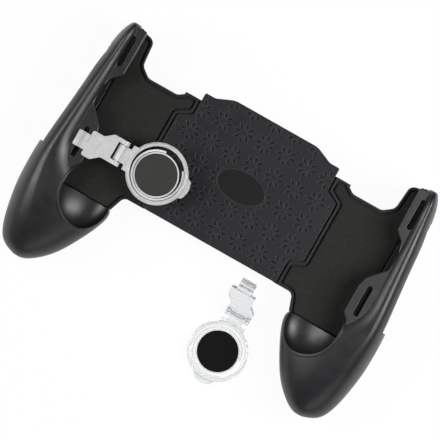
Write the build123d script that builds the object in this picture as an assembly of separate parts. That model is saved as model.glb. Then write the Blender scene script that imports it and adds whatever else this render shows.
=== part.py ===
import os
from math import acos, cos, pi, radians, sin, tan

from build123d import *

# Telescopic two-grip phone controller with two clear clip-on thumb sticks.
# Millimetres. X runs across the phone, Y up its short side, Z out of the screen.
# Zero is the centre of the back cover's flat outer face, with the grips pushed together.

# Whole object
phone_wall_x = 70.95         # end walls of the phone bay, with the grips pushed together
grip_width = 41.5            # innermost to outermost point of a grip
grip_length = 111.8          # tip of the arm to the end of the palm grip
grip_low_y = -72.9           # end of the palm grip
grip_back_z = -7.0           # lowest points of the grips, which the object lies on
grip_depth = 32.5            # from there to the crest of the arm
foot_flat = 0.15             # depth of the flats worn at the lowest points
slide_travel = 12.5          # each grip slides out this far
overrun = 1.0                # how far a cutter runs past a face
far = 100.0                  # reach of a cutter that takes everything on one side
fit_gap = 0.1                # plan clearance between moulded pieces of one grip
round_share = 0.5523         # handle of a quarter curve that looks like a circle

# Centre body: front and back cover
centre_depth = 11.0
skin = 1.6
cover_wide = 39.1            # half width across the wings
cover_narrow = 33.1          # half width above and below the wings
wing_top_y = 13.8
wing_low_y = -14.2
wing_top_slope = 3.0
wing_low_slope = 2.4
cover_low_y = -28.4
cover_side_y = 28.0
cover_crown_y = 31.4
crown_flat = 20.4            # half length of the crown's straight top
crown_end = 28.2             # where the crown has come down to the sides
crown_round = 9.0
cover_round = 0.8
slide_gap = 0.4              # above and below what slides
rail_top_y = 24.7            # inner limit of the covers' upper walls
rail_low_y = -26.8
rail_gap = 0.4
wall_inset = 1.4             # the front cover's walls stop short of the trays' ledges
cover_screw_top_x = 12.0
cover_screw_top_y = 26.0
cover_screw_low_x = 8.0
cover_screw_low_y = -24.2

# Relief of the front cover
relief_depth = 0.35
flower_pitch_x = 10.35
flower_pitch_y = 10.55
flower_rows = range(-3, 4)
flower_columns = range(-4, 5)
petal_count = 8
petal_start = 1.1
petal_wide = 3.3
petal_end = 4.95
petal_width = 1.7
relief_margin = 0.9          # plain border of the cover
oval_half_x = 11.2
oval_half_y = 6.7
oval_sink = 0.3
oval_rim = 0.55

# Gear and racks
pitch_radius = 6.0
tooth_count = 12
tooth_addendum = 0.8
tooth_dedendum = 1.05
pressure_angle = 25.0
backlash = 0.2
gear_height = 3.7
gear_lift = 0.15             # above the boss that it turns on
pin_radius = 1.5
pin_running_gap = 0.05
gear_boss_radius = 2.7

# Trays, which carry the foam pads
tray_thickness = 4.2
rim_height = 1.7
cover_gap = 0.85             # between cover and tray rim, pushed together
plate_hold = 0.6             # pulled out, a tray's inner end stays this far under the cover
tongue_gap = 1.5             # from a tongue's end to the other tray
tongue_side_y = 21.0
tray_low_y = -28.6
tray_tip_y = 38.2            # upper end of a tray, under the lip
tray_corner = 4.0
foot_slope_share = 0.35      # slope of the edge down to the foot
wing_fit_share = 0.5         # of cover_gap, along the wings
tray_foot_y = -36.1          # lower end of the phone bay
flange_top_y = 31.0
flange_low_y = -33.0
flange_reach = 4.85          # past the end wall, into the grip
flange_wide_reach = 8.55
flange_bend_top_y = 2.0
flange_bend_low_y = -18.0
flange_bend = 3.0
flange_round = 1.0

# Foam pads
foam_thickness = 2.0
foam_gap = 0.7               # bare strip between foam and rim
rim_width = 1.7
foam_round = 0.5

# Return springs
spring_y = 15.0
channel_width = 5.0
channel_depth = 2.4
post_radius = 1.2
post_x = 12.0                # post on the back cover
peg_inset = 1.0              # peg under the tongue, past the tray's inner end
post_clear = 0.8             # below the channel's roof
peg_clear = 1.0              # above the back cover
spring_radius = 2.1
spring_wire = 0.6
spring_clear = 0.15

# Grips: two shells each
wall = 2.0
part_drop = 1.0              # the shells of a grip meet this far below the tray's top
bay_height = 9.6             # foam to the underside of the lips
lip_thickness = 2.8
lip_round = 0.6
lip_corner = 3.0
lip_bury = 2.85              # the lips run this far into the arm
scoop_inset = 14.85          # from the end wall
scoop_drop = 2.6             # centre below the lips
scoop_across = 12.7
scoop_along = 14.9
scoop_down = 7.1
scoop_roll = -21.0
scoop_pitch = 9.0
bead_width = 0.7             # raised edge round the scoop
bead_rise = 0.3
slot_inset = 1.85            # from the end wall
slot_y = -16.8
slot_width = 2.4
slot_length = 14.2
slot_floor = 0.6             # lip left beside the slots, under a clip's foot
undercut_width = 3.6
undercut_height = 1.0
upper_slot_inset = 0.15
upper_slot_y = 26.4
upper_slot_width = 2.2
upper_slot_sink = 1.5        # below the lip's underside
upper_slot_length = 14.2
window_sill = 0.6            # above the tray
window_head = 0.2            # below the lips
window_low_y = -23.6
window_top_y = 25.2
port_low_y = -1.3
port_top_y = 11.6
port_sill = 0.6              # above the foam
port_head = 1.0

# Screws
screw_radius = 0.95
screw_fit = 0.05
screw_hole = 1.15
head_radius = 1.8
head_height = 1.3
head_clear = 0.2
cross_width = 0.5
cross_length = 2.2
cross_depth = 0.7
boss_radius = 2.9
slim_boss_radius = 2.3
seat_depth = 3.0             # from the lowest points up to the screw heads' seats
screw_bite = 5.0
bite_clear = 0.5
upper_screw_reach = 3.35     # places from the end wall
upper_screw_y = 28.5
lower_screw_reach = 5.55
lower_screw_y = -29.5
palm_screw_reach = -4.95
palm_screw_y = -56.0

# Thumb sticks
ring_radius = 13.5
ring_bore = 11.7
ring_height = 4.2
ring_step = 0.5
ring_step_z = 1.7
ring_round = 0.45
hinge_x = -18.1              # hinge axis from the ring's centre
hinge_z = 3.3
hinge_pin_radius = 0.6
hinge_running_gap = 0.05
ear_radius = 2.2
ear_thickness = 1.9
ear_outer_y = 5.8
ear_gap = 0.3
knuckle_radius = 1.7
knuckle_neck = 2.2
bar_near_x = -14.2
bar_half_y = 5.8
bar_low_z = 0.8
bar_high_z = 4.0
link_thickness = 1.6
link_top_z = 5.3
link_gap = 0.8
link_shift = -2.9            # the clip end sits this far to one side
link_end_x = -32.3
link_half_y = 5.9
link_waist_x = -27.0
link_waist_in = -23.5
link_skew = 1.0
link_round = 1.5
link_end_round = 0.8
foot_x = -35.1
foot_block_x = 5.4
foot_block_y = 7.1
foot_channel = 1.2
foot_channel_depth = 0.5
foot_lift = 0.05
foot_length = 6.8
foot_side_gap = 0.25
foot_bar_gap = 0.15
tab_reach = 15.5
tab_half = 4.7
tab_low_z = 0.6
tab_high_z = 2.4
tab_round = 2.4
tab_nose = 6.0
holder_outer = 9.8
holder_inner = 9.15
holder_low_z = 0.9
holder_high_z = 2.4
thumb_radius = 9.1
thumb_low_z = 0.9
thumb_high_z = 3.1
thumb_dish = 0.3
contact_radius = 8.2
contact_low_z = 0.15
contact_gap = 0.05
spiral_low_z = 1.2
spiral_high_z = 2.1
spiral_width = 0.9
spiral_start_angle = 95.0
spiral_turn = 300.0
spiral_end_gap = 0.12
pad_rest_offset = -0.6       # the mounted stick's pad stands this far from the middle
stick_slot_offset = 1.2      # the mounted clip stands this far up its slot
stick_screen_gap = 0.6       # ring under the lips' underside
loose_fold = 39.0            # the loose clip stands up by this angle
loose_x = 26.4
loose_y = -66.9

# Levels and places that follow
joint_z = centre_depth / 2   # where the two covers meet
cover_under_z = centre_depth - skin
tray_top_z = cover_under_z - slide_gap
tray_low_z = tray_top_z - tray_thickness
rim_top_z = tray_top_z + rim_height
foam_top_z = tray_top_z + foam_thickness
lip_low_z = foam_top_z + bay_height
lip_top_z = lip_low_z + lip_thickness
slot_low_z = lip_low_z + slot_floor
gear_low_z = tray_low_z + gear_lift
tooth_module = 2 * pitch_radius / tooth_count
stick_z = lip_low_z - stick_screen_gap
part_z = tray_top_z - part_drop
scoop_x = phone_wall_x - scoop_inset
scoop_y = tray_foot_y - fit_gap
scoop_z = lip_low_z - scoop_drop
slot_x = phone_wall_x - slot_inset
upper_slot_x = phone_wall_x - upper_slot_inset
rim_x = cover_narrow + cover_gap
wing_x = cover_wide + cover_gap
tray_top_y = rail_top_y - rail_gap
plate_end_x = cover_narrow - slide_travel - plate_hold
tongue_end_x = plate_end_x - tongue_gap
peg_x = plate_end_x + peg_inset
post_top_z = tray_low_z + channel_depth - post_clear
peg_low_z = skin + peg_clear

# Form of a grip, from the tip of the arm to the end of the palm grip.
# Along: share of grip_length up from the low end.
# Inner, crest, outer and keel: shares of grip_width out from the end wall of the phone bay.
# Back and top: shares of grip_depth up from the lowest points.
waist_share = 0.480          # height at which every section is widest
grip_shares = [
    (1.000, -0.0150, 0.0525, 0.0888, 0.0473, 0.154, 0.877),
    (0.994, -0.0430, 0.0566, 0.1125, 0.0525, 0.062, 0.954),
    (0.975, -0.0564, 0.0628, 0.1416, 0.0576, 0.009, 0.991),
    (0.890, -0.0564, 0.0834, 0.1996, 0.0731, 0.000, 1.000),
    (0.767, -0.0564, 0.1104, 0.2546, 0.1022, 0.022, 1.000),
    (0.652, -0.0564, 0.1354, 0.2845, 0.1187, 0.043, 1.000),
    (0.556, -0.0595, 0.1560, 0.3126, 0.1272, 0.052, 1.000),
    (0.479, -0.0876, 0.1696, 0.3344, 0.1166, 0.052, 1.000),
    (0.421, -0.2274, 0.1738, 0.3479, 0.0710, 0.040, 0.997),
    (0.371, -0.4710, 0.1643, 0.3530, -0.0098, 0.025, 0.991),
    (0.325, -0.6461, 0.1437, 0.3530, -0.0824, 0.009, 0.980),
    (0.275, -0.6441, 0.1146, 0.3489, -0.1290, 0.000, 0.963),
    (0.221, -0.5861, 0.0793, 0.3344, -0.1445, 0.000, 0.935),
    (0.167, -0.5114, 0.0442, 0.3116, -0.1321, 0.006, 0.896),
    (0.113, -0.4265, 0.0110, 0.2804, -0.1030, 0.028, 0.842),
    (0.067, -0.3332, -0.0119, 0.2389, -0.0719, 0.074, 0.778),
    (0.033, -0.2377, -0.0263, 0.1830, -0.0492, 0.145, 0.712),
    (0.012, -0.1600, -0.0325, 0.1043, -0.0387, 0.240, 0.644),
    (0.000, -0.0824, -0.0356, 0.0162, -0.0356, 0.360, 0.570),
]

# Silhouette of the side relief: shares as x and y of a grip
relief_shares = [
    (0.1769, 0.8885), (0.2066, 0.8440), (0.2345, 0.7670),
    (0.2560, 0.6520), (0.2780, 0.5370), (0.2980, 0.4330),
]

# Inner edge of the lips: x and y as shares of a grip, corner radius as a share of lip_corner
lip_shares = [
    (-0.0987, 0.990, 0.40), (-0.0987, 0.803, 0.67), (0.0003, 0.768, 1.00), (0.0312, 0.720, 0.83),
    (0.0271, 0.655, 0.67), (-0.1379, 0.590, 0.83), (-0.1647, 0.555, 0.67), (-0.1647, 0.433, 0.67),
    (-0.0863, 0.400, 1.00), (-0.0667, 0.327, 0.00),
]

# Upper edge of a tray: x as a share from cover to end wall, y from its low edge to its tip,
# corner radius as a share of tray_corner
tray_shares = [
    (0.1392, 0.7919, 0.38), (0.2554, 0.7470, 0.75), (0.6392, 0.7470, 1.00), (0.7716, 0.8024, 1.00),
    (0.7986, 0.9760, 0.75), (1.0000, 1.0000, 0.00),
]
tray_foot_share = 0.2070     # x of the corner above the foot, from cover to end wall

# Screw places of a grip: x, y, whether the tray's flange is clamped there, boss radius
grip_screws = [
    (phone_wall_x + upper_screw_reach, upper_screw_y, True, slim_boss_radius),
    (phone_wall_x + lower_screw_reach, lower_screw_y, True, boss_radius),
    (phone_wall_x + palm_screw_reach, palm_screw_y, False, boss_radius),
]
cover_screws = [
    (cover_screw_top_x, cover_screw_top_y), (-cover_screw_top_x, cover_screw_top_y),
    (cover_screw_low_x, cover_screw_low_y), (-cover_screw_low_x, cover_screw_low_y),
]


def grip_x(share):
    return phone_wall_x + share * grip_width


def grip_y(share):
    return grip_low_y + share * grip_length


def grip_z(share):
    return grip_back_z + share * grip_depth


def outline(*corners):
    # a closed flat face from corners (x, y, radius)
    points = [(x, y) for x, y, radius in corners]
    radii = [radius for x, y, radius in corners]
    return make_face(FilletPolyline(*points, radius=radii, close=True))


def slab(face, low_z, high_z):
    return Pos(0, 0, low_z) * extrude(face, high_z - low_z)


def block(low_x, high_x, low_y, high_y, low_z, high_z):
    size = (high_x - low_x, high_y - low_y, high_z - low_z)
    centre = ((high_x + low_x) / 2, (high_y + low_y) / 2, (high_z + low_z) / 2)
    return Pos(*centre) * Box(*size)


def rod(x, y, radius, low_z, high_z):
    return Pos(x, y, (low_z + high_z) / 2) * Cylinder(radius, high_z - low_z)


def cross_rod(x, z, radius, low_y, high_y):
    return Pos(x, (low_y + high_y) / 2, z) * Rot(90, 0, 0) * Cylinder(radius, high_y - low_y)


def screw(x, y, seat_z, tip_z):
    # pan head below the seat, with a cross recess
    head = rod(x, y, head_radius, seat_z - head_height, seat_z)
    head += rod(x, y, screw_radius, seat_z, tip_z)
    recess_z = seat_z - head_height
    arm_x = Pos(x, y, recess_z) * Box(cross_length, cross_width, 2 * cross_depth)
    arm_y = Pos(x, y, recess_z) * Box(cross_width, cross_length, 2 * cross_depth)
    return head - arm_x - arm_y


# Centre body

def cover_outline():
    right = [
        (crown_flat, cover_crown_y, crown_round),
        (crown_end, cover_side_y, crown_round / 2),
        (cover_narrow, cover_side_y, cover_round),
        (cover_narrow, wing_top_y + wing_top_slope, cover_round),
        (cover_wide, wing_top_y, cover_round),
        (cover_wide, wing_low_y, cover_round),
        (cover_narrow, wing_low_y - wing_low_slope, cover_round),
        (cover_narrow, cover_low_y, cover_round),
    ]
    left = [(-x, y, radius) for x, y, radius in reversed(right)]
    return outline(*right, *left)


def cover_walls(low_z, high_z):
    # upper and lower walls that close the centre body between the trays
    face = cover_outline()
    ring = slab(face - offset(face, -skin), low_z, high_z)
    upper = block(-far, far, rail_top_y, far, low_z, high_z)
    lower = block(-far, far, -far, rail_low_y, low_z, high_z)
    return ring & (upper + lower)


def flower_petals():
    # one eight-petal flower at zero, each petal a kite that is widest towards its tip
    half = petal_width / 2
    corners = [(petal_start, 0), (petal_wide, -half), (petal_end, 0), (petal_wide, half)]
    kite = make_face(Polyline(*corners, close=True))
    return [Rot(0, 0, 360 * i / petal_count) * kite for i in range(petal_count)]


def cover_relief():
    # flowers on a square grid, kept inside the border and off the bare oval
    area = offset(cover_outline(), -relief_margin)
    area -= Ellipse(oval_half_x + oval_rim, oval_half_y + oval_rim)
    petals = []
    for row in flower_rows:
        for column in flower_columns:
            place = Pos(column * flower_pitch_x, row * flower_pitch_y, 0)
            petals += [place * petal for petal in flower_petals()]
    cut = Sketch() + petals
    return cut & area


def front_cover():
    wall_x = cover_narrow - wall_inset
    walls = cover_walls(joint_z, cover_under_z) & block(-wall_x, wall_x, -far, far, -far, far)
    body = slab(cover_outline(), cover_under_z, centre_depth) + walls
    body -= slab(cover_relief(), centre_depth - relief_depth, centre_depth + overrun)
    body -= slab(Ellipse(oval_half_x, oval_half_y), centre_depth - oval_sink, centre_depth + overrun)
    for x, y in cover_screws:
        body += rod(x, y, slim_boss_radius, joint_z, cover_under_z)
        body -= rod(x, y, screw_radius + screw_fit, joint_z - overrun, cover_under_z)
    return body


def back_cover():
    body = slab(cover_outline(), 0, skin) + cover_walls(skin, joint_z)
    for x, y in cover_screws:
        body += rod(x, y, slim_boss_radius, skin, joint_z)
    for side in (-1, 1):
        body += rod(side * post_x, side * spring_y, post_radius, skin, post_top_z)
    body += rod(0, 0, gear_boss_radius, skin, tray_low_z)
    body -= rod(0, 0, pin_radius, skin, tray_low_z + overrun)
    for x, y in cover_screws:
        body -= rod(x, y, screw_hole, -overrun, joint_z + overrun)
        body -= rod(x, y, head_radius + head_clear, -overrun, skin + head_clear)
    return body


def cover_screw_set():
    seat = skin + head_clear
    return [screw(x, y, seat, cover_under_z - bite_clear) for x, y in cover_screws]


# Gear and racks

def involute(radius):
    base = pitch_radius * cos(radians(pressure_angle))
    angle = acos(min(1, base / radius))
    return tan(angle) - angle


def pinion():
    base = pitch_radius * cos(radians(pressure_angle))
    tip = pitch_radius + tooth_addendum
    root = pitch_radius - tooth_dedendum
    half_pitch_angle = pi / (2 * tooth_count) - backlash / (4 * pitch_radius)
    steps = 5
    radii = [base + (tip - base) * i / (steps - 1) for i in range(steps)]
    flank = [(r, half_pitch_angle + involute(pitch_radius) - involute(r)) for r in radii]
    flank.insert(0, (root * cos(flank[0][1]), flank[0][1]))
    side = [(r * cos(a), r * sin(a)) for r, a in flank]
    tooth = make_face(Polyline(*side, *[(x, -y) for x, y in reversed(side)], close=True))
    gear = Circle(root) + [Rot(0, 0, 90 + 360 * i / tooth_count) * tooth for i in range(tooth_count)]
    gear -= Circle(pin_radius + pin_running_gap)
    return slab(gear, gear_low_z, gear_low_z + gear_height)


def pinion_pin():
    return rod(0, 0, pin_radius, skin, cover_under_z)


def rack_teeth(start_x, end_x):
    # teeth that point down from the pitch line towards the gear
    pitch = pi * tooth_module
    slope = tan(radians(pressure_angle))
    half = (pitch - backlash) / 4
    tip = half - tooth_addendum * slope
    root = half + tooth_dedendum * slope
    tip_y = pitch_radius - tooth_addendum
    root_y = pitch_radius + tooth_dedendum
    teeth = []
    first = round(start_x / pitch)
    last = round(end_x / pitch)
    for i in range(first, last):
        x = (i + 1 / 2) * pitch
        corners = [(x - root, root_y), (x - tip, tip_y), (x + tip, tip_y), (x + root, root_y)]
        teeth.append(make_face(Polyline(*corners, close=True)))
    return Sketch() + teeth


# Trays

def tray_x(share):
    return rim_x + share * (phone_wall_x - rim_x)


def tray_y(share):
    return tray_low_y + share * (tray_tip_y - tray_low_y)


def tray_outline(reach):
    # the part of a tray that shows, right side, run on by reach past the bay's end wall and foot
    wall_x = phone_wall_x - fit_gap + reach
    foot_y = tray_foot_y + fit_gap - reach
    foot_x = tray_x(tray_foot_share) + (tray_low_y - foot_y) * foot_slope_share
    upper = [(tray_x(x), tray_y(y), corner * tray_corner) for x, y, corner in tray_shares]
    return outline(
        (rim_x, tray_top_y, 0.0),
        (upper[0][0], tray_top_y, upper[0][2]),
        *upper[1:-1],
        (wall_x, tray_tip_y, 0.0),
        (wall_x, foot_y, 0.0),
        (foot_x, foot_y, 0.0),
        (tray_x(tray_foot_share), tray_low_y, tray_corner * tray_shares[1][2]),
        (rim_x, tray_low_y, 0.0),
        (rim_x, wing_low_y - wing_low_slope - cover_gap, cover_round),
        (wing_x, wing_low_y - cover_gap * wing_fit_share, cover_round),
        (wing_x, wing_top_y + cover_gap * wing_fit_share, cover_round),
        (rim_x, wing_top_y + wing_top_slope + cover_gap, cover_round),
    )


def foam_outline(grow):
    # pocket of the foam pad, right side; grow widens it all round
    face = offset(tray_outline(2 * rim_width), grow - rim_width)
    width = phone_wall_x - 2 * fit_gap
    height = tray_tip_y - tray_foot_y
    return face & Pos(width / 2, tray_foot_y + 2 * fit_gap + height / 2) * Rectangle(width, height)


def flange_outline():
    flange_x = phone_wall_x + flange_reach
    flange_wide_x = phone_wall_x + flange_wide_reach
    return outline(
        (phone_wall_x - 4 * fit_gap, flange_top_y, 0.0),
        (flange_x, flange_top_y, flange_round),
        (flange_x, flange_bend_top_y, flange_bend),
        (flange_wide_x, flange_bend_low_y, flange_bend),
        (flange_wide_x, flange_low_y, flange_round),
        (phone_wall_x - 4 * fit_gap, flange_low_y, 0.0),
    )


def tray(side):
    # side 1 is the right tray, with its tongue below the gear; -1 the left, above it
    plate = slab(tray_outline(0), tray_low_z, rim_top_z)
    plate -= slab(foam_outline(foam_gap), tray_top_z, rim_top_z + overrun)
    low_edge = rail_low_y + rail_gap
    plate += block(plate_end_x, wing_x + cover_gap, low_edge, tray_top_y, tray_low_z, tray_top_z)
    plate += slab(flange_outline(), tray_low_z, tray_top_z)
    ledge_x = cover_narrow - wall_inset + slide_gap
    plate += block(ledge_x, rim_x + cover_gap, tray_low_y, low_edge, joint_z + slide_gap, tray_top_z)
    for x, y, clamped, boss in grip_screws:
        if clamped:
            plate -= rod(x, y, screw_hole, tray_low_z - overrun, tray_top_z + overrun)
    if side < 0:
        plate = mirror(plate, about=Plane.YZ)
    tongue = block(-plate_end_x - overrun, tongue_end_x, pitch_radius + tooth_dedendum, tongue_side_y,
                   tray_low_z, tray_top_z)
    tongue += slab(rack_teeth(-pitch_radius, tongue_end_x), tray_low_z, tray_top_z)
    channel = block(-peg_x - 2 * spring_radius, tongue_end_x + overrun, spring_y - channel_width / 2,
                    spring_y + channel_width / 2, tray_low_z - overrun, tray_low_z + channel_depth)
    peg = rod(-peg_x, spring_y, post_radius, peg_low_z, tray_top_z - skin / 2)
    if side > 0:
        tongue, channel, peg = [Rot(0, 0, 180) * piece for piece in (tongue, channel, peg)]
    return plate + tongue - channel + peg


def foam_pad(side):
    pad = slab(foam_outline(0), tray_top_z, foam_top_z)
    pad = fillet(pad.faces().sort_by(Axis.Z)[-1].edges(), foam_round)
    return mirror(pad, about=Plane.YZ) if side < 0 else pad


def return_spring(side):
    # closely wound coil between a post of the back cover and a peg of the tray, with an eye at each end
    z = (peg_low_z + post_top_z) / 2
    eye_outer = post_radius + spring_clear + spring_wire
    start = -peg_x + eye_outer - spring_wire / 2
    end = post_x - eye_outer + spring_wire / 2
    coil = Pos((start + end) / 2, spring_y, z) * Rot(0, 90, 0) * Cylinder(spring_radius, end - start)
    coil -= Pos((start + end) / 2, spring_y, z) * Rot(0, 90, 0) * Cylinder(
        spring_radius - spring_wire, end - start - 2 * spring_wire)
    for x in (-peg_x, post_x):
        eye = rod(x, spring_y, eye_outer, z - spring_wire / 2, z + spring_wire / 2)
        coil += eye
        coil -= rod(x, spring_y, post_radius + spring_clear, z - spring_radius, z + spring_radius)
    return Rot(0, 0, 180) * coil if side > 0 else coil


# Grips

def grip_section(row, inset):
    # closed ring of four quarter curves through the waist, crest, outer side and keel
    along, inner, crest, outer, keel, back, top = row
    middle_y = grip_y(1 / 2)
    y = middle_y + (grip_y(along) - middle_y) * (1 - 2 * inset / grip_length)
    inset = min(inset, (grip_x(outer) - grip_x(inner)) / 3)
    waist_z = grip_z(waist_share)
    corners = [
        Vector(grip_x(inner) + inset, y, waist_z),
        Vector(grip_x(crest), y, grip_z(top) - inset),
        Vector(grip_x(outer) - inset, y, waist_z),
        Vector(grip_x(keel), y, grip_z(back) + inset),
    ]
    edges = []
    for i in range(4):
        a = corners[i]
        b = corners[(i + 1) % 4]
        if i % 2 == 0:
            first = Vector(a.X, y, a.Z + (b.Z - a.Z) * round_share)
            second = Vector(b.X + (a.X - b.X) * round_share, y, b.Z)
        else:
            first = Vector(a.X + (b.X - a.X) * round_share, y, a.Z)
            second = Vector(b.X, y, b.Z + (a.Z - b.Z) * round_share)
        edges.append(Bezier(a, first, second, b))
    return Wire(edges)


def grip_form(inset):
    return Solid.make_loft([grip_section(row, inset) for row in grip_shares])


def bay_block(grow):
    return block(-far, phone_wall_x + grow, tray_foot_y - grow, far, tray_low_z, lip_low_z)


def side_relief(shift):
    # the outer side steps in between shoulder and tip, as one long relief; shift moves it inwards
    points = [(grip_x(x) - shift, grip_y(y)) for x, y in relief_shares]
    edge = Spline(*points)
    top = Polyline(points[0], (far, points[0][1]), (far, points[-1][1]), points[-1])
    return slab(make_face(edge + top), -far, far)


def lip_plate():
    inner = [(grip_x(x), grip_y(y), corner * lip_corner) for x, y, corner in lip_shares]
    outer = [
        (phone_wall_x + lip_bury, inner[-1][1], 0.0),
        (phone_wall_x + lip_bury, inner[0][1], 0.0),
    ]
    plate = slab(outline(*inner, *outer), lip_low_z, lip_top_z)
    rim = [e for e in plate.edges().filter_by(Plane.XY) if e.center().X < phone_wall_x + overrun]
    rim = [e for e in rim if e.length > 0 and e.center().Y > inner[-1][1] + fit_gap]
    upper = [e for e in rim if e.center().Z > lip_top_z - fit_gap and e.center().Y < inner[0][1] - fit_gap]
    return fillet(upper, lip_round)


def scoop(grow):
    bowl = Solid.make_sphere(1)
    bowl = scale(bowl, (scoop_across + grow, scoop_along + grow, scoop_down + grow))
    return Pos(scoop_x, scoop_y, scoop_z) * Rot(scoop_pitch, scoop_roll, 0) * bowl


def slot_cut():
    cut = slab(SlotOverall(slot_length, slot_width, rotation=90), lip_low_z - overrun, lip_top_z + far)
    under = SlotOverall(slot_length + undercut_width - slot_width, undercut_width, rotation=90)
    cut += slab(under, slot_low_z, slot_low_z + undercut_height)
    return Pos(slot_x, slot_y, 0) * cut


def upper_slot_cut():
    face = SlotOverall(upper_slot_length, upper_slot_width, rotation=90)
    cut = slab(face, lip_low_z - upper_slot_sink, lip_top_z + far)
    return Pos(upper_slot_x, upper_slot_y, 0) * cut


def window_cut():
    # long cable window in the outer wall, and the port hole in the wall of the bay behind it
    length = window_top_y - window_low_y
    window_low_z = tray_top_z + window_sill
    window_high_z = lip_low_z - window_head
    height = window_high_z - window_low_z
    face = Plane.YZ * SlotOverall(length, height)
    centre_y = (window_top_y + window_low_y) / 2
    centre_z = (window_high_z + window_low_z) / 2
    outer = Pos(phone_wall_x + 2 * wall + fit_gap, centre_y, centre_z) * extrude(face, far)
    port = block(phone_wall_x - overrun, phone_wall_x + 2 * wall + overrun, port_low_y, port_top_y,
                 foam_top_z + port_sill, lip_low_z - port_head)
    return outer + port


def screw_seat_z():
    return grip_back_z + seat_depth


def front_shell(form, hollow):
    upper = block(-far, far, -far, far, part_z, far)
    lining = block(-far, phone_wall_x + wall, tray_foot_y - wall, far, tray_top_z, far)
    body = form - hollow
    body += form & (lining + scoop(wall) + side_relief(wall))
    for x, y, clamped, boss in grip_screws:
        seat = tray_top_z if clamped else part_z
        body += form & rod(x, y, boss, seat, far)
    body &= upper
    body += lip_plate()
    body += grip_form(-bead_rise) & scoop(bead_width) & upper
    body -= bay_block(0)
    body -= scoop(0)
    body -= slab(flange_outline(), tray_low_z, tray_top_z)
    body -= side_relief(0) + slot_cut() + upper_slot_cut() + window_cut()
    for x, y, clamped, boss in grip_screws:
        seat = tray_top_z if clamped else part_z
        body -= rod(x, y, screw_radius + screw_fit, seat - overrun, tray_top_z + screw_bite + bite_clear)
    return body


def back_shell(form, hollow):
    lower = block(-far, far, -far, far, grip_back_z + foot_flat, part_z)
    body = form - hollow
    body += form & side_relief(wall)
    for x, y, clamped, boss in grip_screws:
        seat = tray_low_z if clamped else part_z
        body += form & rod(x, y, boss, -far, seat)
    body &= lower
    body -= bay_block(0) + slab(flange_outline(), tray_low_z, tray_top_z) + side_relief(0)
    for x, y, clamped, boss in grip_screws:
        body -= rod(x, y, screw_hole, -far, far)
        body -= rod(x, y, head_radius + head_clear, -far, screw_seat_z())
    return body


def grip_screw_set(side):
    tip = tray_top_z + screw_bite
    return [screw(side * x, y, screw_seat_z(), tip) for x, y, clamped, boss in grip_screws]


# Thumb sticks, made about the ring's centre with the clip towards -X and the screen side at zero

def ring_frame():
    profile = make_face(Polyline(
        (ring_bore, 0),
        (ring_radius, 0),
        (ring_radius, ring_step_z),
        (ring_radius - ring_step, ring_step_z + ring_step),
        (ring_radius - ring_step, ring_height),
        (ring_bore, ring_height),
        close=True,
    ))
    profile = fillet(profile.vertices(), ring_round)
    body = revolve(Plane.XZ * profile, Axis.Z)
    tab = outline(
        (0, tab_half, 0.0), (tab_reach - tab_round / 2, tab_half, tab_round), (tab_reach, 0, tab_nose),
        (tab_reach - tab_round / 2, -tab_half, tab_round), (0, -tab_half, 0.0),
    )
    core = rod(0, 0, ring_bore, -overrun, ring_height + overrun)
    body += slab(tab, tab_low_z, tab_high_z) - core
    bar = block(bar_near_x, 0, -bar_half_y, bar_half_y, bar_low_z, bar_high_z)
    bar = fillet(bar.edges().filter_by(Axis.Z).group_by(Axis.X)[0], ring_round)
    body += bar - core
    half = ear_outer_y - ear_thickness - ear_gap
    knuckle = cross_rod(hinge_x, hinge_z, knuckle_radius, -half, half)
    neck_low_z = hinge_z - knuckle_neck / 2
    neck_high_z = hinge_z + knuckle_neck / 3
    knuckle += block(hinge_x, bar_near_x + overrun, -half, half, neck_low_z, neck_high_z)
    body += knuckle
    return body - cross_rod(hinge_x, hinge_z, hinge_pin_radius + hinge_running_gap, -far, far)


def hinge_pin():
    return cross_rod(hinge_x, hinge_z, hinge_pin_radius, -ear_outer_y, ear_outer_y)


def clip_link():
    # flat wavy plate between the fork of the hinge and the foot that hooks into a slot of the grip
    plate_low_z = link_top_z - link_thickness
    plate_end = hinge_x - knuckle_radius - link_gap
    plate = slab(outline(
        (plate_end, ear_outer_y, 0.0),
        (link_waist_in, ear_outer_y, link_round),
        (link_waist_x, ear_outer_y + link_shift, link_round),
        (link_end_x, ear_outer_y + link_shift, link_end_round),
        (link_end_x, link_shift - link_half_y, link_end_round),
        (link_waist_x - link_skew, link_shift - link_half_y, link_round),
        (link_waist_in - link_skew, -ear_outer_y, link_round),
        (plate_end, -ear_outer_y, 0.0),
    ), plate_low_z, link_top_z)
    for side in (-1, 1):
        inner = side * (ear_outer_y - ear_thickness)
        low, high = sorted((inner, side * ear_outer_y))
        ear = cross_rod(hinge_x, hinge_z, ear_radius, low, high)
        ear += block(plate_end - overrun, hinge_x, low, high, plate_low_z, link_top_z)
        plate += ear
    plate -= cross_rod(hinge_x, hinge_z, hinge_pin_radius, -far, far)
    return plate + clip_foot()


def clip_foot():
    top = link_top_z
    floor = lip_top_z - stick_z + foot_lift
    foot = block(-foot_block_x / 2, foot_block_x / 2, -foot_block_y / 2, foot_block_y / 2, floor, top)
    foot = fillet(foot.edges().group_by(Axis.Z)[-1], ring_round)
    foot -= block(-foot_channel / 2, foot_channel / 2, -far, far, top - foot_channel_depth, far)
    neck_half = slot_width / 2 - foot_side_gap
    bar_half = undercut_width / 2 - foot_side_gap
    bar_low = slot_low_z - stick_z + foot_bar_gap
    bar_high = bar_low + undercut_height - 2 * foot_bar_gap
    foot += block(-neck_half, neck_half, -foot_length / 2, foot_length / 2, bar_low, floor)
    foot += block(-bar_half, bar_half, -foot_length / 2, foot_length / 2, bar_low, bar_high)
    half = foot_block_y / 2 - ring_round
    foot += block(0, link_end_x - foot_x + overrun, -half, half, top - link_thickness, top - ring_round)
    return Pos(foot_x, link_shift, 0) * foot


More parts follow.
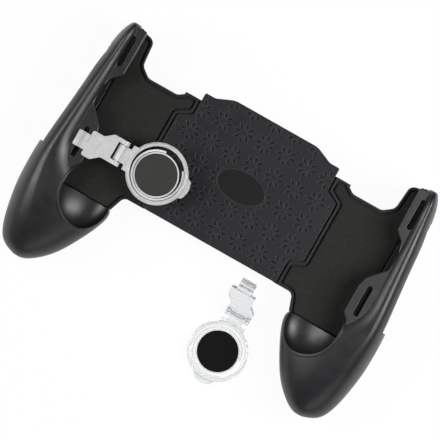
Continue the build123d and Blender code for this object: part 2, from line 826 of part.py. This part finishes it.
def pad_holder():
    return slab(Circle(holder_outer) - Circle(holder_inner), holder_low_z, holder_high_z)


def spiral_point(share, shift, pad_offset):
    # winds from the holder, whose centre stands pad_offset off the ring's, out to the ring
    end_radius = ring_bore - spiral_end_gap - spiral_width / 2
    start_radius = holder_outer + spiral_end_gap + spiral_width / 2
    radius = start_radius + (end_radius - start_radius) * share + shift
    angle = radians(spiral_start_angle + spiral_turn * share)
    return (radius * cos(angle), radius * sin(angle) + pad_offset * (1 - share))


def spiral_spring(pad_offset):
    # one flat arm that winds out from the holder to the ring
    steps = 12
    half = spiral_width / 2
    inner = Spline(*[spiral_point(i / steps, -half, pad_offset) for i in range(steps + 1)])
    outer = Spline(*[spiral_point(i / steps, half, pad_offset) for i in range(steps + 1)])
    ends = []
    for share in (0, 1):
        ends.append(Line(spiral_point(share, -half, pad_offset), spiral_point(share, half, pad_offset)))
    return slab(make_face(inner + outer + ends), spiral_low_z, spiral_high_z)


def thumb_pad():
    pad = rod(0, 0, thumb_radius, thumb_low_z, thumb_high_z)
    pad = fillet(pad.edges().group_by(Axis.Z)[-1], ring_round)
    dish_reach = thumb_radius - 2 * ring_round
    dish_radius = (dish_reach ** 2 / thumb_dish + thumb_dish) / 2
    return pad - Pos(0, 0, thumb_high_z - thumb_dish + dish_radius) * Sphere(dish_radius)


def contact_pad():
    return rod(0, 0, contact_radius, contact_low_z, thumb_low_z - contact_gap)


def stick_pieces(name, place, pad_offset, fold):
    # the clip is turned up about its hinge by fold
    pad_place = place * Pos(0, pad_offset, 0)
    clip_place = place * Pos(hinge_x, 0, hinge_z) * Rot(0, fold, 0) * Pos(-hinge_x, 0, -hinge_z)
    return {
        f"{name}_clip_link": clip_place * clip_link(),
        f"{name}_hinge_pin": clip_place * hinge_pin(),
        f"{name}_ring_frame": place * ring_frame(),
        f"{name}_spiral_spring": place * spiral_spring(pad_offset),
        f"{name}_pad_holder": pad_place * pad_holder(),
        f"{name}_thumb_pad": pad_place * thumb_pad(),
        f"{name}_contact_pad": pad_place * contact_pad(),
    }


def grip_pieces():
    form = grip_form(0)
    hollow = grip_form(wall)
    front = front_shell(form, hollow)
    back = back_shell(form, hollow)
    return {
        "right_front_shell": front,
        "right_back_shell": back,
        "left_front_shell": mirror(front, about=Plane.YZ),
        "left_back_shell": mirror(back, about=Plane.YZ),
    }


def all_pieces():
    pieces = {
        "front_cover": front_cover(),
        "back_cover": back_cover(),
        "pinion": pinion(),
        "pinion_pin": pinion_pin(),
        "cover_screws": Compound(cover_screw_set()),
    }
    for name, side in (("right", 1), ("left", -1)):
        pieces[f"{name}_tray"] = tray(side)
        pieces[f"{name}_foam_pad"] = foam_pad(side)
        pieces[f"{name}_return_spring"] = return_spring(side)
        pieces[f"{name}_grip_screws"] = Compound(grip_screw_set(side))
    pieces.update(grip_pieces())
    mounted = Pos(-slot_x - foot_x, slot_y + stick_slot_offset - link_shift, stick_z)
    loose = Pos(loose_x, loose_y, grip_back_z + foot_flat) * Rot(0, 0, -90)
    pieces.update(stick_pieces("mounted", mounted, pad_rest_offset, 0))
    pieces.update(stick_pieces("loose", loose, 0, loose_fold))
    return pieces


os.makedirs("parts", exist_ok=True)
for node, piece in all_pieces().items():
    export_step(piece, f"parts/{node}.step")
    print(node, round(piece.volume, 1), len(piece.solids()))
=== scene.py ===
import math

import bmesh
import bpy
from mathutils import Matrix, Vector, noise


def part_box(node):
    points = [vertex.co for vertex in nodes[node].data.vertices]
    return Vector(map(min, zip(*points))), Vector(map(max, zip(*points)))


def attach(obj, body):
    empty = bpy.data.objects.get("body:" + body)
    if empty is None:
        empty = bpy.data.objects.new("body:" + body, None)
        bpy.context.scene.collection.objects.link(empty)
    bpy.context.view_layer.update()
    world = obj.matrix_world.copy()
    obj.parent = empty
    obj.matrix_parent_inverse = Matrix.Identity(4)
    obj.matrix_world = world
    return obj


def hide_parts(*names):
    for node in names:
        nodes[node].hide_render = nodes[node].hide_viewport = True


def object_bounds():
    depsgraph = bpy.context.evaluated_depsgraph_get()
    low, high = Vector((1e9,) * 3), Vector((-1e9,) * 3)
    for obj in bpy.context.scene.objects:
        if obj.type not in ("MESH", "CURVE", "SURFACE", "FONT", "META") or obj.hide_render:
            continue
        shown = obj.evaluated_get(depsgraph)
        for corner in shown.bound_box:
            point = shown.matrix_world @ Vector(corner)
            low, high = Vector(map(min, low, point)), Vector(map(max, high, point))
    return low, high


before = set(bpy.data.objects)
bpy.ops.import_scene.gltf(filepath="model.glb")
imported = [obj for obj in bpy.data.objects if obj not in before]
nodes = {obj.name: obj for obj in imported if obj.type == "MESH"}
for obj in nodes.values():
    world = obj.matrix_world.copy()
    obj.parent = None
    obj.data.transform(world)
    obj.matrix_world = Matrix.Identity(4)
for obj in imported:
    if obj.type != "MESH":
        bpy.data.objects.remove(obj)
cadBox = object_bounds()
mm = 0.001
bevelSamples = 6
print("frame loaded:", len(nodes), "nodes")


# Small helpers

def toLinear(hexColour):
    channels = [int(hexColour[i:i + 2], 16) / 255 for i in (1, 3, 5)]
    return tuple(c / 12.92 if c <= 0.04045 else ((c + 0.055) / 1.055) ** 2.4 for c in channels) + (1.0,)


def addNode(tree, kind, settings=None, values=None, links=None):
    node = tree.nodes.new(kind)
    for key, value in (settings or {}).items():
        setattr(node, key, value)
    for key, value in (values or {}).items():
        node.inputs[key].default_value = value
    for key, socket in (links or {}).items():
        tree.links.new(socket, node.inputs[key])
    return node


def newMaterial(name):
    material = bpy.data.materials.new(name)
    material.use_nodes = True
    tree = material.node_tree
    tree.nodes.clear()
    return material, tree


def addBump(tree, height, strength, depth):
    values = {"Strength": strength, "Distance": depth * mm}
    return addNode(tree, "ShaderNodeBump", values=values, links={"Height": height})


def closeMaterial(tree, shader):
    addNode(tree, "ShaderNodeOutputMaterial", links={"Surface": shader.outputs[0]})


def mixColours(tree, factor, first, second):
    # colours may be hex values or sockets
    node = addNode(tree, "ShaderNodeMix", {"data_type": "RGBA"}, links={0: factor})
    for index, colour in ((6, first), (7, second)):  # the colour sockets A and B
        if isinstance(colour, str):
            node.inputs[index].default_value = toLinear(colour)
        else:
            tree.links.new(colour, node.inputs[index])
    return node.outputs[2]


def remap(tree, value, low, high, toLow=0.0, toHigh=1.0):
    limits = {1: low, 2: high, 3: toLow, 4: toHigh}
    return addNode(tree, "ShaderNodeMapRange", values=limits, links={0: value}).outputs[0]


def noiseField(tree, place, size, detail, rough=0.5):
    # cloudy pattern whose features measure about size in millimetres
    values = {"Scale": 1 / (size * mm), "Detail": detail, "Roughness": rough}
    return addNode(tree, "ShaderNodeTexNoise", values=values, links={"Vector": place}).outputs[0]


def objectPlace(tree):
    return addNode(tree, "ShaderNodeTexCoord").outputs["Object"]


def softEdges(tree, radius):
    return addNode(tree, "ShaderNodeBevel", {"samples": bevelSamples}, {"Radius": radius * mm}).outputs[0]


def dress(nodeNames, material):
    for name in nodeNames:
        mesh = nodes[name].data
        mesh.materials.clear()
        mesh.materials.append(material)


# Injection-moulded ABS: a satin black plastic. The spark-eroded mould leaves a fine grain that softens its
# shine. Sizes in millimetres.

# One span here sets where the cover's painted edge highlight fades in, by how far the softened normal parts
# from the true one.
plasticBase = {"cloudSpan": (0.3, 0.7), "scuffSpan": (0.35, 0.75), "scuffRough": 0.7, "smoother": 0.04,
               "rougher": 0.07, "paintedEdgeHighlightSpan": (0.86, 0.995), "grainDepth": 0.02}
gripLook = {"dark": "#101013", "light": "#151519", "grain": 0.35, "cloud": 30, "scuff": 9, "rough": 0.38,
            "bump": 0.25, "edge": 0.35, "ior": 1.58, "sheen": 0.5}
# The cover's near-black recess colour is painted shade on the relief's sunken floors; its light grey rub colour
# is a painted highlight on the petal edges.
coverLook = {"dark": "#1b1b1e", "light": "#212124", "grain": 0.35, "cloud": 22, "scuff": 7, "rough": 0.48,
             "bump": 0.3, "edge": 0.45, "ior": 1.53, "sheen": 0.22, "recess": "#09090b",
             "recessSpan": (10.66, 10.95), "paintedEdgeHighlight": "#4a4a4f"}
trayLook = {"dark": "#0e0e0f", "light": "#131314", "grain": 0.4, "cloud": 18, "scuff": 6, "rough": 0.5,
            "bump": 0.35, "edge": 0.3, "ior": 1.5, "sheen": 0.4}


def mouldedAbs(name, look):
    material, tree = newMaterial(name)
    place = objectPlace(tree)
    cloud = noiseField(tree, place, look["cloud"], 4.0)
    scuff = noiseField(tree, place, look["scuff"], 6.0, plasticBase["scuffRough"])
    grain = noiseField(tree, place, look["grain"], 3.0)
    colour = mixColours(tree, remap(tree, cloud, *plasticBase["cloudSpan"]), look["dark"], look["light"])
    rough = remap(tree, scuff, *plasticBase["scuffSpan"], look["rough"] - plasticBase["smoother"],
                  look["rough"] + plasticBase["rougher"])
    edge = softEdges(tree, look["edge"])
    if "recess" in look:  # the relief: painted shade darkens the recessed floors, and a painted highlight lightens the petal edges
        height = addNode(tree, "ShaderNodeSeparateXYZ", links={0: place}).outputs[2]
        low, high = look["recessSpan"]
        # painted shade: every face below the cover's top turns near-black, standing in for shade in the petal
        # and oval recesses
        colour = mixColours(tree, remap(tree, height, low * mm, high * mm, 1.0, 0.0), colour, look["recess"])
        # painted highlight: where the softened edge normal parts from the true face normal, the colour turns
        # light grey, standing in for glints on the petal edges
        flat = addNode(tree, "ShaderNodeNewGeometry").outputs["True Normal"]
        match = addNode(tree, "ShaderNodeVectorMath", {"operation": "DOT_PRODUCT"}, links={0: edge, 1: flat})
        paintedEdgeHighlight = remap(tree, match.outputs["Value"], *plasticBase["paintedEdgeHighlightSpan"], 1.0, 0.0)
        colour = mixColours(tree, paintedEdgeHighlight, colour, look["paintedEdgeHighlight"])
    bump = addBump(tree, grain, look["bump"], plasticBase["grainDepth"])
    tree.links.new(edge, bump.inputs["Normal"])
    values = {"IOR": look["ior"], "Specular IOR Level": look["sheen"]}
    shader = addNode(tree, "ShaderNodeBsdfPrincipled", values=values,
                     links={"Base Color": colour, "Roughness": rough, "Normal": bump.outputs[0]})
    closeMaterial(tree, shader)
    return material


gripAbs = mouldedAbs("satin_abs_grips", gripLook)
coverAbs = mouldedAbs("satin_abs_covers", coverLook)
trayAbs = mouldedAbs("matt_abs_trays", trayLook)
for side in ("left", "right"):
    dress([f"{side}_front_shell", f"{side}_back_shell"], gripAbs)
dress(["front_cover", "back_cover"], coverAbs)
dress(["left_tray", "right_tray"], trayAbs)
print("moulded plastics done")


# Closed-cell EVA foam: matt, with burst cells at its skin that show as a fine speckle

foamLook = {"dark": "#171715", "light": "#282724", "cell": 0.45, "speckle": 0.8, "speckleSpan": (0.35, 0.65),
            "mottle": 2.6, "mottleSpan": (0.2, 0.6), "mottleLow": 0.6, "pit": 0.08, "bump": 0.6,
            "rough": 0.86, "sheen": 0.35}


def closedCellFoam():
    material, tree = newMaterial("closed_cell_foam")
    place = objectPlace(tree)
    cells = addNode(tree, "ShaderNodeTexVoronoi", values={"Scale": 1 / (foamLook["cell"] * mm)},
                    links={"Vector": place})
    speckle = noiseField(tree, place, foamLook["cell"] * foamLook["speckle"], 2.0)
    speckle = remap(tree, speckle, *foamLook["speckleSpan"])
    mottle = noiseField(tree, place, foamLook["mottle"], 5.0)
    mottle = remap(tree, mottle, *foamLook["mottleSpan"], foamLook["mottleLow"])
    mix = addNode(tree, "ShaderNodeMath", {"operation": "MULTIPLY"}, links={0: speckle, 1: mottle})
    colour = mixColours(tree, mix.outputs[0], foamLook["dark"], foamLook["light"])
    bump = addBump(tree, cells.outputs[0], foamLook["bump"], foamLook["pit"])
    values = {"Roughness": foamLook["rough"], "Specular IOR Level": foamLook["sheen"]}
    shader = addNode(tree, "ShaderNodeBsdfPrincipled", values=values,
                     links={"Base Color": colour, "Normal": bump.outputs[0]})
    closeMaterial(tree, shader)
    return material


# Foam pads: die-cut sheet with a soft, slightly uneven top

padShape = {"weld": 0.001, "voxel": 0.6, "smooth": 3, "uneven": 0.05, "wave": 9.0, "sink": 0.6,
            "edgeDrop": 0.06, "edgeReach": 4.0}


def foamPad(side, material):
    low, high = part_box(f"{side}_foam_pad")
    mesh = nodes[f"{side}_foam_pad"].data.copy()
    bm = bmesh.new()
    bm.from_mesh(mesh)
    bmesh.ops.remove_doubles(bm, verts=bm.verts, dist=padShape["weld"] * mm)
    bm.to_mesh(mesh)
    bm.free()
    draft = bpy.data.objects.new("pad_draft", mesh)
    bpy.context.scene.collection.objects.link(draft)
    remesh = draft.modifiers.new("even", "REMESH")
    remesh.mode = "VOXEL"
    remesh.voxel_size = padShape["voxel"] * mm
    graph = bpy.context.evaluated_depsgraph_get()
    shaped = bpy.data.meshes.new_from_object(draft.evaluated_get(graph))
    bpy.data.objects.remove(draft)
    bm = bmesh.new()
    bm.from_mesh(shaped)
    allAxes = {"use_axis_x": True, "use_axis_y": True, "use_axis_z": True}
    for step in range(padShape["smooth"]):
        bmesh.ops.smooth_vert(bm, verts=bm.verts, factor=0.5, **allAxes)
    middle = (low + high) / 2
    for v in bm.verts:
        rise = max(0.0, (v.co.z - middle.z) / (high.z - middle.z))
        if rise:
            wave = noise.noise(v.co / (padShape["wave"] * mm))
            inside = min(v.co.x - low.x, high.x - v.co.x, v.co.y - low.y, high.y - v.co.y)
            drop = padShape["edgeDrop"] * (1 - min(1.0, inside / (padShape["edgeReach"] * mm)))
            v.co.z += rise * (padShape["uneven"] * (wave - padShape["sink"]) - drop) * mm
    for face in bm.faces:
        face.smooth = True
    bm.to_mesh(shaped)
    bm.free()
    shaped.materials.clear()
    shaped.materials.append(material)
    pad = bpy.data.objects.new(f"{side}_foam", shaped)
    bpy.context.scene.collection.objects.link(pad)
    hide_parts(f"{side}_foam_pad")
    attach(pad, f"{side}_half")


foam = closedCellFoam()
for side in ("left", "right"):
    foamPad(side, foam)
print("foam pads done")


# Clear moulded polycarbonate. The stick in use has gone a little milky from handling, most of all where its
# thin parts flex. The loose one is fresh.

clearBase = {"ior": 1.58, "hazeSpan": (0.35, 0.7), "streakSpan": (0.35, 0.65), "bump": 0.35, "ripple": 0.06}
milkyLook = {"tint": "#ffffff", "shade": "#f0f1f2", "clearness": 0.55, "rough": (0.08, 0.2), "haze": 4.0,
             "streak": 1.6, "edge": 0.3}
flexedLook = {"tint": "#ffffff", "shade": "#f4f5f6", "clearness": 0.3, "rough": (0.1, 0.22), "haze": 4.0,
              "streak": 1.6, "edge": 0.25}
freshLook = {"tint": "#f6f7f8", "shade": "#eceef0", "clearness": 0.84, "rough": (0.03, 0.12), "haze": 4.0,
             "streak": 1.2, "edge": 0.25}


def clearPolycarbonate(name, look):
    material, tree = newMaterial(name)
    place = objectPlace(tree)
    haze = noiseField(tree, place, look["haze"], 4.0)
    rough = remap(tree, haze, *clearBase["hazeSpan"], *look["rough"])
    streaks = noiseField(tree, place, look["streak"], 2.0)
    colour = mixColours(tree, remap(tree, streaks, *clearBase["streakSpan"]), look["shade"], look["tint"])
    flow = addBump(tree, streaks, clearBase["bump"], clearBase["ripple"])
    tree.links.new(softEdges(tree, look["edge"]), flow.inputs["Normal"])
    values = {"IOR": clearBase["ior"], "Transmission Weight": look["clearness"]}
    shader = addNode(tree, "ShaderNodeBsdfPrincipled", values=values,
                     links={"Base Color": colour, "Roughness": rough, "Normal": flow.outputs[0]})
    closeMaterial(tree, shader)
    return material


# Moulded silicone rubber: matt and soft-looking, and it picks up a little dust

rubberBase = {"dust": 0.5, "dustSpan": (0.35, 0.75), "bump": 0.2, "depth": 0.03, "rough": 0.62}
# The mounted pad's lighter grey is a painted highlight standing in for the sheen on its dished face; the loose
# pad keeps the rubber's own near-black.
padPaintedSheen = {"dark": "#232221", "light": "#302f2d", "sheen": 0.4}
padPlainBlack = {"dark": "#090909", "light": "#0e0e0d", "sheen": 0.1}
contactLook = {"dark": "#1c1c1c", "light": "#262626", "sheen": 0.4}


def siliconeRubber(name, look):
    material, tree = newMaterial(name)
    dust = noiseField(tree, objectPlace(tree), rubberBase["dust"], 5.0)
    colour = mixColours(tree, remap(tree, dust, *rubberBase["dustSpan"]), look["dark"], look["light"])
    bump = addBump(tree, dust, rubberBase["bump"], rubberBase["depth"])
    values = {"Roughness": rubberBase["rough"], "Specular IOR Level": look["sheen"]}
    shader = addNode(tree, "ShaderNodeBsdfPrincipled", values=values,
                     links={"Base Color": colour, "Normal": bump.outputs[0]})
    closeMaterial(tree, shader)
    return material


# Zinc-plated steel: bluish bright metal with a fine passivated mottle

steelLook = {"dark": "#9a9ca0", "light": "#c4c6c9", "mottle": 0.8, "mottleSpan": (0.3, 0.7),
             "rough": (0.22, 0.38)}


def zincSteel():
    material, tree = newMaterial("zinc_plated_steel")
    mottle = noiseField(tree, objectPlace(tree), steelLook["mottle"], 5.0)
    colour = mixColours(tree, mottle, steelLook["dark"], steelLook["light"])
    rough = remap(tree, mottle, *steelLook["mottleSpan"], *steelLook["rough"])
    shader = addNode(tree, "ShaderNodeBsdfPrincipled", values={"Metallic": 1.0},
                     links={"Base Color": colour, "Roughness": rough})
    closeMaterial(tree, shader)
    return material


# Acetal: a milky, waxy engineering plastic used for small gears

acetalLook = {"dark": "#dcdad2", "light": "#e8e7e1", "cloud": 2.0, "rough": 0.35, "ior": 1.48}


def acetal():
    material, tree = newMaterial("natural_acetal")
    cloud = noiseField(tree, objectPlace(tree), acetalLook["cloud"], 3.0)
    colour = mixColours(tree, cloud, acetalLook["dark"], acetalLook["light"])
    values = {"Roughness": acetalLook["rough"], "IOR": acetalLook["ior"]}
    shader = addNode(tree, "ShaderNodeBsdfPrincipled", values=values, links={"Base Color": colour})
    closeMaterial(tree, shader)
    return material


flexingParts = ("spiral_spring", "pad_holder")
clearParts = ("clip_link", "hinge_pin", "ring_frame") + flexingParts
dress([f"mounted_{part}" for part in clearParts], clearPolycarbonate("milky_polycarbonate", milkyLook))
dress([f"loose_{part}" for part in clearParts], clearPolycarbonate("clear_polycarbonate", freshLook))
dress([f"mounted_{part}" for part in flexingParts], clearPolycarbonate("flexed_polycarbonate", flexedLook))
# painted highlight: the mounted pad gets the lighter grey copy of the rubber
dress(["mounted_thumb_pad"], siliconeRubber("silicone_thumb_pad", padPaintedSheen))
dress(["loose_thumb_pad"], siliconeRubber("silicone_thumb_pad_plain_black", padPlainBlack))
dress(["mounted_contact_pad", "loose_contact_pad"], siliconeRubber("conductive_silicone", contactLook))
dress(["pinion"], acetal())
steel = zincSteel()
dress(["pinion_pin", "cover_screws"], steel)
for side in ("left", "right"):
    dress([f"{side}_grip_screws", f"{side}_return_spring"], steel)
print("stick, gear and screw finishes done")


# Floor, backdrop and light. Softboxes stand to the right, left and front of the picture, and a small one lights
# the arms' crests. Nothing shines from straight above, so flat tops stay dark and curved sides catch long
# highlights.

studio = {"floorSize": 6.0, "floorDrop": 0.03, "floorTint": "#fafafa", "seenWhite": 0.94, "world": 0.14}
white = (1.0, 1.0, 1.0, 1.0)
lamps = [  # turn from the picture's right, angle down from overhead, distance, width, length, power
    {"turn": -14, "lean": 38, "away": 0.55, "width": 0.22, "length": 0.36, "power": 2.3},
    {"turn": 168, "lean": 47, "away": 1.2, "width": 0.4, "length": 1.0, "power": 6.4},
    {"turn": 275, "lean": 62, "away": 1.2, "width": 1.0, "length": 0.4, "power": 1.5},
    {"turn": 160, "lean": 35, "away": 0.6, "width": 0.24, "length": 0.14, "power": 0.5},
]


def lightPath(tree, *kinds):
    # 1 for the named kinds of rays, 0 for the rest
    rays = addNode(tree, "ShaderNodeLightPath")
    total = rays.outputs[kinds[0]]
    for kind in kinds[1:]:
        links = {0: total, 1: rays.outputs[kind]}
        total = addNode(tree, "ShaderNodeMath", {"operation": "MAXIMUM"}, links=links).outputs[0]
    return total


def paleFloor(groundZ):
    bm = bmesh.new()
    bmesh.ops.create_grid(bm, x_segments=1, y_segments=1, size=studio["floorSize"] / 2)
    bmesh.ops.translate(bm, verts=bm.verts, vec=(0, 0, groundZ))
    mesh = bpy.data.meshes.new("studio_floor")
    bm.to_mesh(mesh)
    bm.free()
    floor = bpy.data.objects.new("studio_floor", mesh)
    bpy.context.scene.collection.objects.link(floor)
    material, tree = newMaterial("white_paper_floor")
    seen = lightPath(tree, "Is Camera Ray", "Is Glossy Ray", "Is Transmission Ray")
    share = remap(tree, seen, 0.0, 1.0, 0.0, studio["seenWhite"])
    paper = addNode(tree, "ShaderNodeBsdfDiffuse", values={"Color": toLinear(studio["floorTint"])})
    glow = addNode(tree, "ShaderNodeEmission", values={"Color": white, "Strength": 1.0})
    mix = addNode(tree, "ShaderNodeMixShader", links={0: share, 1: paper.outputs[0], 2: glow.outputs[0]})
    closeMaterial(tree, mix)
    mesh.materials.append(material)


def softLight(turnZ):
    world = bpy.data.worlds.new("studio_world")
    world.use_nodes = True
    tree = world.node_tree
    tree.nodes.clear()
    seen = lightPath(tree, "Is Camera Ray", "Is Transmission Ray")
    strength = remap(tree, seen, 0.0, 1.0, studio["world"], 1.0)
    back = addNode(tree, "ShaderNodeBackground", values={"Color": white}, links={"Strength": strength})
    addNode(tree, "ShaderNodeOutputWorld", links={"Surface": back.outputs[0]})
    bpy.context.scene.world = world
    for i, spec in enumerate(lamps):
        lamp = bpy.data.lights.new(f"softbox_{i}", "AREA")
        lamp.shape = "RECTANGLE"
        lamp.size = spec["width"]
        lamp.size_y = spec["length"]
        lamp.energy = spec["power"]
        holder = bpy.data.objects.new(f"softbox_{i}", lamp)
        turn = math.radians(turnZ + spec["turn"])
        lean = math.radians(spec["lean"])
        place = Vector((math.sin(lean) * math.cos(turn), math.sin(lean) * math.sin(turn), math.cos(lean)))
        holder.location = place * spec["away"]
        holder.rotation_euler = (-place).to_track_quat("-Z", "Y").to_euler()
        bpy.context.scene.collection.objects.link(holder)


# Camera: straight down from far off, turned as in the photograph

cameraView = {"turn": 29.5, "centre": (-0.9, -16.6), "width": 189.2, "distance": 1200.0, "level": 11.0,
              "sensor": 36.0, "near": 0.05, "far": 20.0}


def overheadCamera():
    camera = bpy.data.cameras.new("camera")
    camera.sensor_width = cameraView["sensor"]
    camera.lens = camera.sensor_width * cameraView["distance"] / cameraView["width"]
    camera.clip_start = cameraView["near"]
    camera.clip_end = cameraView["far"]
    holder = bpy.data.objects.new("camera", camera)
    x, y = cameraView["centre"]
    holder.location = (x * mm, y * mm, (cameraView["distance"] + cameraView["level"]) * mm)
    holder.rotation_euler = (0, 0, math.radians(cameraView["turn"]))
    bpy.context.scene.collection.objects.link(holder)
    bpy.context.scene.camera = holder


paleFloor(cadBox[0].z - studio["floorDrop"] * mm)  # a hair below, so that touching faces do not flicker
softLight(cameraView["turn"])
overheadCamera()
bpy.context.scene.view_settings.view_transform = "Standard"
print("studio done")
